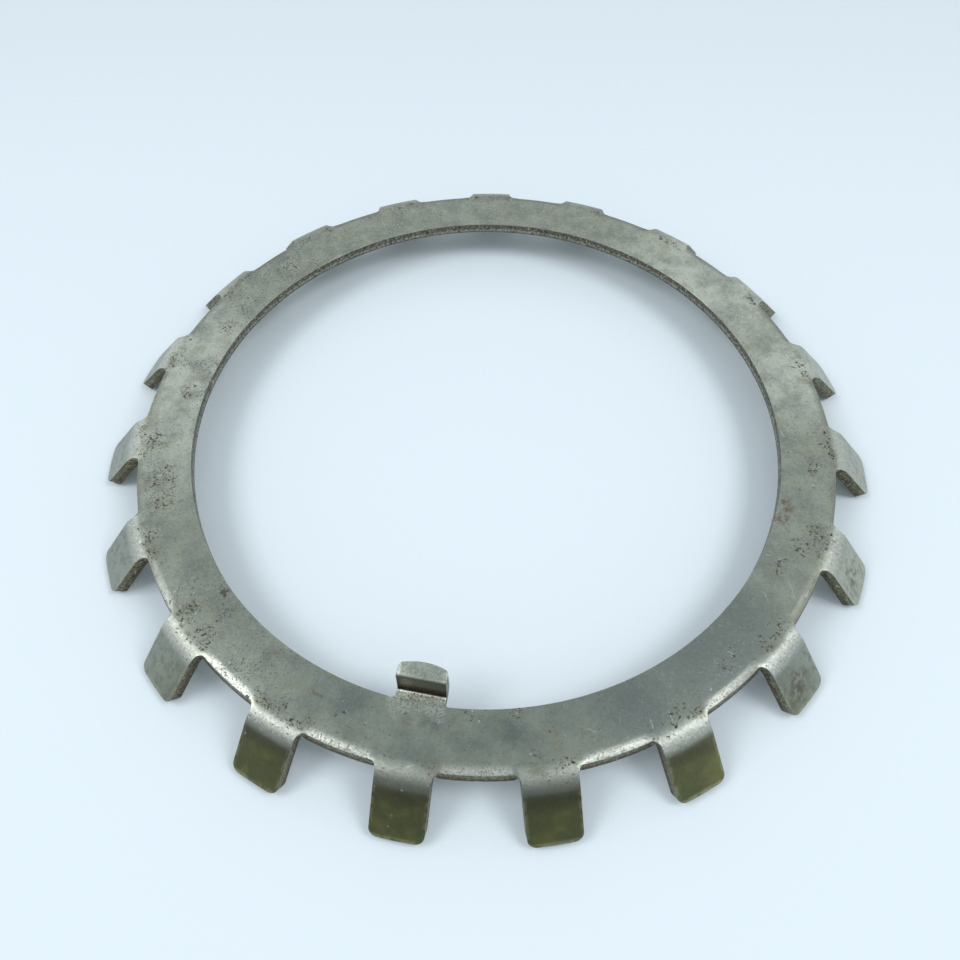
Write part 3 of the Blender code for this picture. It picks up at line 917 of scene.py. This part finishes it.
def tang_colour(tree, read, colour):
    """The tang's bright top, most of all along its sides, painted shade on its ridge, its step painted dark as
    shade with a brown foot that is partly grime and partly painted shade, and a painted highlight and painted
    shade along the valley.
    """
    place, top = read["place"], read["tang_top"]
    half = TANG_WIDTH / 2 / MM
    sides = fade(tree, maths(tree, "ABSOLUTE", read["X"]), half - 0.90, half - 0.40)
    sides = product(tree, sides, fade(tree, noise(tree, place, 0.9, 2.0), 0.38, 0.58))
    patchy = fade(tree, noise(tree, place, 0.8, 4.0, 0.65), 0.46, 0.62)
    colour = paint(tree, colour, TANG_TOP, top, read["speckle"])
    colour = paint(tree, colour, TANG_PATCH, top, patchy, 0.55)
    colour = paint(tree, colour, TANG_GLINT, top, fade(tree, read["grit"], 0.56, 0.68), 0.6)
    colour = paint(tree, colour, TANG_SIDE_GLINT, top, sides, 0.8)
    # Ridge, step, foot and valley colours are painted shade, the foot partly brown grime, and the valley line a
    # painted highlight.
    layers = ((TANG_RIDGE_SHADE, "ridge", 0.65), (TANG_STEP_SHADE, "step", 0.80), (TANG_FOOT_GRIME_AND_SHADE, "foot", 0.92),
              (VALLEY_PAINTED_SHADE, "valley", 0.8), (VALLEY_HIGHLIGHT_LINE, "valley_highlight", 0.6))
    for tone, mask, strength in layers:
        colour = paint(tree, colour, tone, read[mask], strength)
    return colour


def marked_colour(tree, read, groups, colour):
    """Scratches, pits, dark spots and rust. Gives the colour, and the masks of the pits and of the spots."""
    place, past, warped = read["place"], read["past"], read["warped"]
    root = product(tree, band(tree, past, -1.8, -0.6, 0.0, 1.4), fade(tree, read["across"], 6.0, 4.4),
                   fade(tree, noise(tree, place, 0.30, 2.0), 0.42, 0.56))
    patches = near_any(tree, warped, PITTED_PATCHES)
    density = highest(tree, product(tree, patches, 0.85), product(tree, root, 0.90))
    large = place_group(tree, groups["pits"], {"Place": place, "Density": density, "Size": 0.68})
    more_at_left = plus(tree, product(tree, fade(tree, read["X"], 10.0, -45.0), 0.45), 0.45)
    scattered = product(tree, fade(tree, noise(tree, place, 0.12, 4.0, 0.62), 0.40, 0.66), more_at_left,
                        fade(tree, past, 3.5, 1.5))
    density = highest(tree, density, product(tree, read["crest"], 0.5), scattered)
    small = place_group(tree, groups["pits"], {"Place": place, "Density": density, "Size": 0.34})
    pitted = highest(tree, large["Mask"], product(tree, small["Mask"], 0.80))
    flecks = place_group(tree, groups["scratches"], {"Place": place, "Amount": 0.07, "Length": 3.2})["Mask"]
    flecks = product(tree, flecks, fade(tree, noise(tree, place, 0.09, 3.0), 0.48, 0.60))
    scratches = place_group(tree, groups["scratches"], {"Place": place, "Amount": 0.035, "Length": 16.0})["Mask"]
    scratches = product(tree, scratches, fade(tree, past, 1.5, 0.0))
    colour = paint(tree, colour, FLECK, flecks, read["level"], 0.5)
    colour = paint(tree, colour, SCRATCH, scratches, read["level"], 0.40)
    colour = paint(tree, colour, PIT_HALO, large["Halo"], 0.36)
    colour = paint(tree, colour, PIT, pitted, plus(tree, product(tree, read["upper"], 0.4), 0.45))
    spots = near_any(tree, warped, DARK_SPOTS, 0.5)
    colour = paint(tree, colour, DARK_SPOT, spots, 0.75)
    rust = product(tree, near_any(tree, warped, RUST_SPOTS),
                   fade(tree, noise(tree, place, 1.2, 4.0, 0.7), 0.44, 0.56))
    return paint(tree, colour, RUST, rust, 0.70), pitted, spots


def face_steel(groups):
    """The rolled faces of the sheet: dull grey, stained, pitted and worn, with painted highlights, reflections
    and shade in places.
    """
    material, shader = new_material("worn_steel")
    tree = material.node_tree
    read = sheet_reading(tree)
    read["mottle"] = place_group(tree, groups["mottle"], {"Place": read["place"]})
    for add_masks in (read_face, read_rim, read_tang):
        add_masks(tree, read)
    colour = film_colour(tree, read)
    colour = tab_colour(tree, read, colour)
    colour = rim_colour(tree, read, colour)
    colour = tang_colour(tree, read, colour)
    colour, pitted, spots = marked_colour(tree, read, groups, colour)
    under = fade(tree, read["depth"], SHEET_THICKNESS / MM - 0.6, SHEET_THICKNESS / MM - 0.1)
    colour = paint(tree, colour, BROWNED_UNDERSIDE, under, 0.35)
    tree.links.new(colour, shader.inputs["Base Color"])

    rough = plus(tree, product(tree, read["mottle"]["Dark"], 0.12), 0.285,
                 highest(tree, product(tree, read["rim_band"], 0.10), product(tree, read["ridge"], 0.3)),
                 highest(tree, product(tree, read["dirt"], 0.18), product(tree, read["dull_rim"], 0.22)))
    rough = maths(tree, "ADD", rough, product(tree, pitted, 0.35), clamp=True)
    tree.links.new(rough, shader.inputs["Roughness"])
    shader.inputs["Metallic"].default_value = 0.9

    height = minus(tree, read["mottle"]["Grain"], product(tree, pitted, 1.2), product(tree, spots, 0.8))
    height = plus(tree, height, product(tree, read["scuffed"], read["grit"], 0.8),
                  product(tree, highest(tree, read["rim_band"], read["crest"]), read["grit"], 0.9))
    bump = add(tree, "ShaderNodeBump", {"Height": height, "Strength": 1.0, "Distance": 0.026 * MM})
    tree.links.new(bump.outputs[0], shader.inputs["Normal"])
    return material


def cut_steel(groups):
    """The sheared walls: a dark rough band under the top edge, then a torn band, browned all over; the rim
    walls' khaki is partly a painted yellow reflection.
    """
    material, shader = new_material("sheared_steel")
    tree = material.node_tree
    read = sheet_reading(tree)
    place = read["place"]
    torn_line = plus(tree, read["depth"], product(tree, noise(tree, place, 0.8, 3.0), 0.9))
    torn = fade(tree, torn_line, 1.55, 1.8)
    bore_colour = blend(tree, torn, BORE_SHEARED, BORE_TORN)
    rim_colour = blend(tree, torn, RIM_SHEARED, RIM_TORN)
    rim_colour = paint(tree, rim_colour, REAR_WALL, fade(tree, read["Y"], 0.0, 55.0))
    bore = fade(tree, read["along"], BORE_RADIUS / MM + 1.5, BORE_RADIUS / MM + 0.5)
    colour = blend(tree, bore, rim_colour, bore_colour)
    colour = paint(tree, colour, TANG_WALL, read["tang"], 0.8)
    grit = noise(tree, place, 1.7, 4.0, 0.7)
    colour = paint(tree, colour, WALL_DARK_GRIT, fade(tree, grit, 0.48, 0.34), 0.80)
    colour = paint(tree, colour, WALL_LIGHT_GRIT, fade(tree, grit, 0.54, 0.68), 0.75)
    rust = fade(tree, noise(tree, place, 0.5, 5.0, 0.7), 0.54, 0.66)
    colour = paint(tree, colour, WALL_RUST, rust, 0.5)
    pits = place_group(tree, groups["pits"], {"Place": place, "Density": 1.0, "Size": 0.5})["Mask"]
    colour = paint(tree, colour, WALL_PIT, pits, minus(tree, 0.8, product(tree, read["tang"], 0.55)))
    lower_edge = fade(tree, read["depth"], SHEET_THICKNESS / MM - 0.55, SHEET_THICKNESS / MM - 0.25)
    colour = paint(tree, colour, WALL_LOWER_EDGE, lower_edge, 0.6)
    tree.links.new(colour, shader.inputs["Base Color"])
    tree.links.new(plus(tree, product(tree, torn, 0.15), 0.42), shader.inputs["Roughness"])
    shader.inputs["Metallic"].default_value = 0.75
    height = product(tree, noise(tree, place, 3.0, 4.0, 0.7), plus(tree, torn, 0.4))
    bump = add(tree, "ShaderNodeBump", {"Height": height, "Strength": 0.7, "Distance": 0.12 * MM})
    tree.links.new(bump.outputs[0], shader.inputs["Normal"])
    return material


# The washer as it is shown

def part_shading(mesh):
    """Keep the shading of the tang apart from the ring's where they meet."""
    shape = bmesh.new()
    shape.from_mesh(mesh)
    tang = shape.loops.layers.float["tang"]
    for edge in shape.edges:
        if len({round(face.loops[0][tang]) for face in edge.link_faces}) > 1:
            edge.smooth = False
    shape.to_mesh(mesh)
    shape.free()


def make_washer():
    """The ring and the tang joined to one piece, turned and finished."""
    groups = {"pits": pits_group(), "scratches": scratches_group(), "mottle": mottle_group()}
    ring = make_ring()
    tang = make_tang()
    steels = (face_steel(groups), cut_steel(groups))
    for piece in (ring, tang):
        for steel in steels:
            piece.materials.append(steel)
    mesh = combine(ring, tang, "UNION")
    mesh.name = "tab_lock_washer_steel"
    part_shading(mesh)
    for leftover in list(mesh.uv_layers):
        mesh.uv_layers.remove(leftover)
    mesh.transform(Matrix.Rotation(TANG_TURN, 4, "Z"))
    washer = add_object("washer_steel", mesh)
    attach(washer, "root")
    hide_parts("tab_lock_washer")


# Stage

def make_sheet(name, width, height, colour, roughness):
    """A flat sheet round the origin, with its own material. Gives its mesh and its shader."""
    shape = bmesh.new()
    bmesh.ops.create_grid(shape, x_segments=1, y_segments=1, size=0.5)
    mesh = bpy.data.meshes.new(name)
    shape.to_mesh(mesh)
    shape.free()
    mesh.transform(Matrix.Diagonal((width, height, 1, 1)))
    material, shader = new_material(name + "_finish")
    shader.inputs["Base Color"].default_value = colour
    shader.inputs["Roughness"].default_value = roughness
    mesh.materials.append(material)
    return mesh, shader


def make_floor():
    """A wide, pale and dull floor."""
    mesh, shader = make_sheet("floor", FLOOR_WIDTH, FLOOR_WIDTH, PALE_FLOOR, 0.9)
    shader.inputs["Specular IOR Level"].default_value = 0.1
    add_object("floor", mesh)


def make_card(name, grey, place, tilt, width, height):
    """A card that is seen only in the metal's gloss."""
    mesh, shader = make_sheet(name, width, height, (grey, grey, grey, 1), 1.0)
    mesh.transform(Matrix.Translation(place) @ Matrix.Rotation(math.radians(tilt), 4, "X"))
    card = add_object(name, mesh)
    card.visible_camera = False
    card.visible_diffuse = False
    card.visible_shadow = False
    card.visible_transmission = False


def make_lamp(name, place, width, height):
    """A soft lamp that faces the washer."""
    data = bpy.data.lights.new(name, "AREA")
    data.shape = "RECTANGLE"
    data.size = width
    data.size_y = height
    data.energy = LAMP_POWER
    lamp = add_object(name, data)
    lamp.location = place
    lamp.rotation_mode = "QUATERNION"
    lamp.rotation_quaternion = (-Vector(place)).to_track_quat("-Z", "Y")


def make_world():
    """Pale all round in view and in gloss, and softer as a light."""
    world = bpy.data.worlds.new("studio")
    world.use_nodes = True
    tree = world.node_tree
    shown = tree.nodes["Background"]
    shown.inputs["Color"].default_value = WORLD_SHOWN
    shown.inputs["Strength"].default_value = 1.0
    lit = add(tree, "ShaderNodeBackground", {"Color": WORLD_LIT, "Strength": WORLD_LIT_STRENGTH})
    path = add(tree, "ShaderNodeLightPath").outputs
    seen = maths(tree, "ADD", path["Is Camera Ray"], path["Is Glossy Ray"])
    seen = maths(tree, "ADD", seen, path["Is Transmission Ray"], clamp=True)
    mix = add(tree, "ShaderNodeMixShader", {0: seen, 1: lit.outputs[0], 2: shown.outputs[0]})
    tree.links.new(mix.outputs[0], tree.nodes["World Output"].inputs["Surface"])
    bpy.context.scene.world = world


def make_camera():
    """The camera where the photograph was taken from."""
    data = bpy.data.cameras.new("camera")
    data.sensor_width = SENSOR_WIDTH
    data.lens = SENSOR_WIDTH * FOCAL_PIXELS / PHOTO_SIDE
    data.clip_start = CLIP_START
    camera = add_object("camera", data)
    turn = Matrix.Rotation(CAMERA_HEADING, 4, "Z")
    tilt = Matrix.Rotation(math.radians(90) - CAMERA_PITCH, 4, "X")
    roll = Matrix.Rotation(CAMERA_ROLL, 4, "Z")
    camera.matrix_world = Matrix.Translation(CAMERA_PLACE) @ turn @ tilt @ roll
    bpy.context.scene.camera = camera


def main():
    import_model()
    make_washer()
    make_floor()
    for card in CARDS:
        make_card(*card)
    for lamp in LAMPS:
        make_lamp(*lamp)
    make_world()
    make_camera()
    bpy.context.scene.view_settings.view_transform = "Standard"


main()
